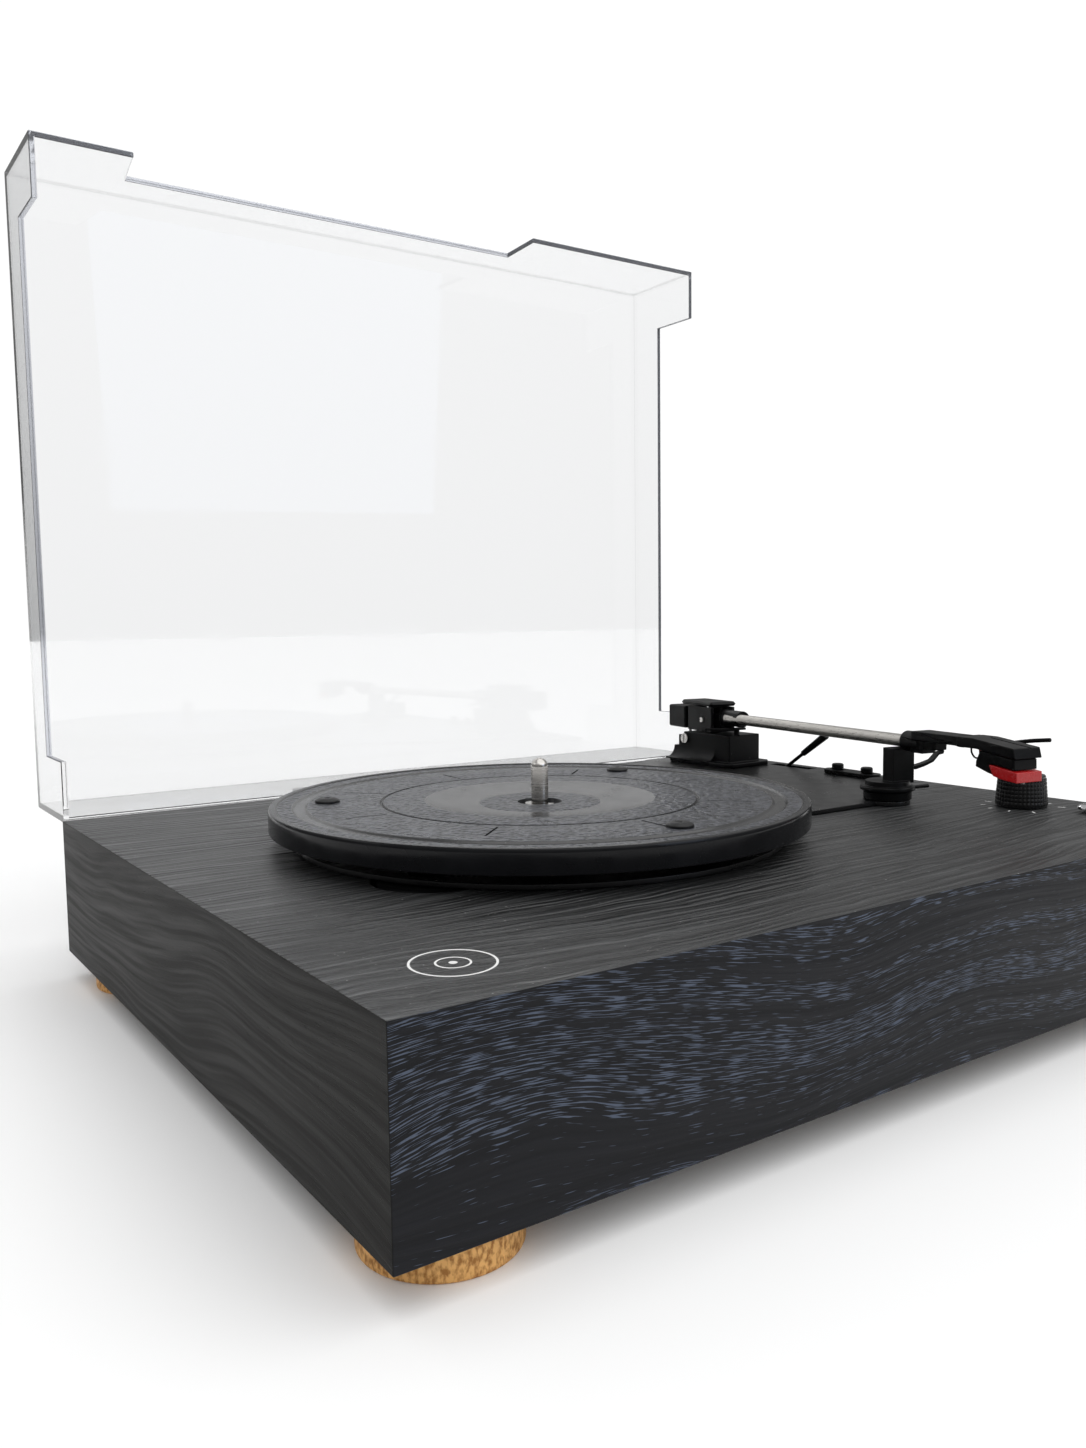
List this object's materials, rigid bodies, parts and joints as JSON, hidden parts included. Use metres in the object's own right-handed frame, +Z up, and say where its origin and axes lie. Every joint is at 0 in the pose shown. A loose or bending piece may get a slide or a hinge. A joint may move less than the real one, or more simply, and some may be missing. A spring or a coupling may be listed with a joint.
{
  "type": "record player",
  "caption": "Belt-drive record player with a wooden plinth, straight tonearm, cue lever and hinged clear dust cover.",
  "frame": {"origin": "on the floor under the middle of the whole object with its cover open", "axes": "+X to the right along the front, +Y to the back, +Z up"},
  "size_m": [0.4, 0.3962, 0.3807],
  "materials": {
    "black_ash": "black stained open-pore veneer, satin",
    "hardboard": "plain pressed board",
    "cork": "cork, fine-grained",
    "black_plastic": "satin black",
    "black_gloss_plastic": "semi-gloss black, textured face",
    "white_jack": "white socket ring",
    "red_jack": "red socket ring",
    "bronze": "sintered bronze",
    "steel": "turned, bright",
    "nylon": "natural nylon",
    "zinc": "zinc-plated can",
    "brass": "turned",
    "belt_rubber": "matt black",
    "pad_rubber": "matt black",
    "circuit_board": "green board with components",
    "chrome": "polished",
    "brushed_tube": "brushed",
    "red_plastic": "translucent red",
    "black_lead": "insulated wire",
    "red_lead": "insulated wire",
    "clear_acrylic": "clear polished acrylic"
  },
  "bodies": {
    "chassis": {"plinth": "black_ash", "base_board": "hardboard", "foot_front_left": "cork", "foot_front_right": "cork", "foot_rear_left": "cork", "foot_rear_right": "cork", "jack_plate": "black_plastic", "rca_jack_left": "white_jack", "rca_jack_right": "red_jack", "aux_jack": "black_plastic", "power_jack": "black_plastic", "mechanism_plate": "black_plastic", "spindle_bush": "bronze", "spindle": "steel", "thrust_washer": "nylon", "spindle_clip": "steel", "drive_motor": "zinc", "drive_belt": "belt_rubber", "circuit_board": "circuit_board", "volume_pot": "zinc", "button_switch": "black_plastic", "switch_bezel": "black_plastic", "arm_pedestal": "black_plastic", "pedestal_screw": "steel", "arm_rest": "black_plastic", "hinge_bracket_left": "black_plastic", "hinge_bracket_right": "black_plastic", "hinge_pin_left": "steel", "hinge_pin_right": "steel"},
    "platter_set": {"platter": "black_gloss_plastic", "platter_pad_1": "pad_rubber", "platter_pad_2": "pad_rubber", "platter_pad_3": "pad_rubber"},
    "pulley": {"motor_pulley": "brass"},
    "cover": {"dust_cover": "clear_acrylic", "hinge_leaf_left": "black_plastic", "hinge_leaf_right": "black_plastic"},
    "arm_yoke": {"arm_fork": "black_plastic", "arm_cap": "black_plastic", "pivot_screw_left": "steel", "pivot_screw_right": "steel"},
    "arm": {"arm_tail": "black_plastic", "arm_tube": "brushed_tube", "headshell": "black_plastic", "finger_lift": "black_plastic", "cartridge": "black_plastic", "stylus_holder": "red_plastic", "stylus": "steel", "cartridge_lead_1": "black_lead", "cartridge_lead_2": "red_lead"},
    "clip": {"arm_clip": "black_plastic"},
    "cue_handle": {"cue_lever": "black_plastic"},
    "cue_lift": {"cue_platform": "black_plastic"},
    "speed_stud": {"speed_slider": "black_plastic"},
    "autostop_stud": {"autostop_slider": "black_plastic"},
    "knob": {"volume_knob": "black_plastic", "volume_shaft": "steel"},
    "button": {"mode_button": "chrome"}
  },
  "joints": [
    {"name": "platter_spin", "type": "hinge", "parent": "chassis", "child": "platter_set", "pos_m": [-0.0469, -0.03605, 0.0825], "axis": [0, 0, 1], "continuous": true},
    {"name": "pulley_spin", "type": "hinge", "parent": "chassis", "child": "pulley", "pos_m": [-0.12311, -0.08005, 0.0825], "axis": [0, 0, 1], "continuous": true},
    {"name": "cover_hinge", "type": "hinge", "parent": "chassis", "child": "cover", "pos_m": [0, 0.13095, 0.0636], "axis": [-1, 0, 0], "range_deg": [-90, 0]},
    {"name": "arm_swing", "type": "hinge", "parent": "chassis", "child": "arm_yoke", "pos_m": [0.1593, 0.07995, 0.0925], "axis": [0, 0, -1], "range_deg": [0, 36]},
    {"name": "arm_lift", "type": "hinge", "parent": "arm_yoke", "child": "arm", "pos_m": [0.1593, 0.07995, 0.1005], "axis": [-0.9828, 0.1848, 0], "range_deg": [0, 6]},
    {"name": "arm_clip_hinge", "type": "hinge", "parent": "chassis", "child": "clip", "pos_m": [0.1377, -0.0793, 0.0895], "axis": [-0.1848, -0.9828, 0], "range_deg": [0, 82]},
    {"name": "cue_lever_hinge", "type": "hinge", "parent": "chassis", "child": "cue_handle", "pos_m": [0.1795, 0.04795, 0.0685], "axis": [1, 0, 0], "range_deg": [0, 18]},
    {"name": "cue_lift_slide", "type": "slide", "parent": "chassis", "child": "cue_lift", "axis": [0, 0, 1], "range_m": [-0.0026, 0]},
    {"name": "speed_slide", "type": "slide", "parent": "chassis", "child": "speed_stud", "axis": [-0.0523, -0.9986, 0], "range_m": [-0.0025, 0.0025]},
    {"name": "autostop_slide", "type": "slide", "parent": "chassis", "child": "autostop_stud", "axis": [-0.0523, -0.9986, 0], "range_m": [0, 0.003]},
    {"name": "volume_turn", "type": "hinge", "parent": "chassis", "child": "knob", "pos_m": [0.1665, -0.11805, 0.0805], "axis": [0, 0, 1], "range_deg": [-140, 140]},
    {"name": "button_press", "type": "slide", "parent": "chassis", "child": "button", "axis": [0, 0, -1], "range_m": [0, 0.0012], "stiffness_N_per_m": 300, "springref_m": -0.0005}
  ],
  "couplings": [
    {"joint": "pulley_spin", "follows": "platter_spin", "ratio": 13.8},
    {"joint": "cue_lift_slide", "follows": "cue_lever_hinge", "m_per_rad": -0.008}
  ]
}
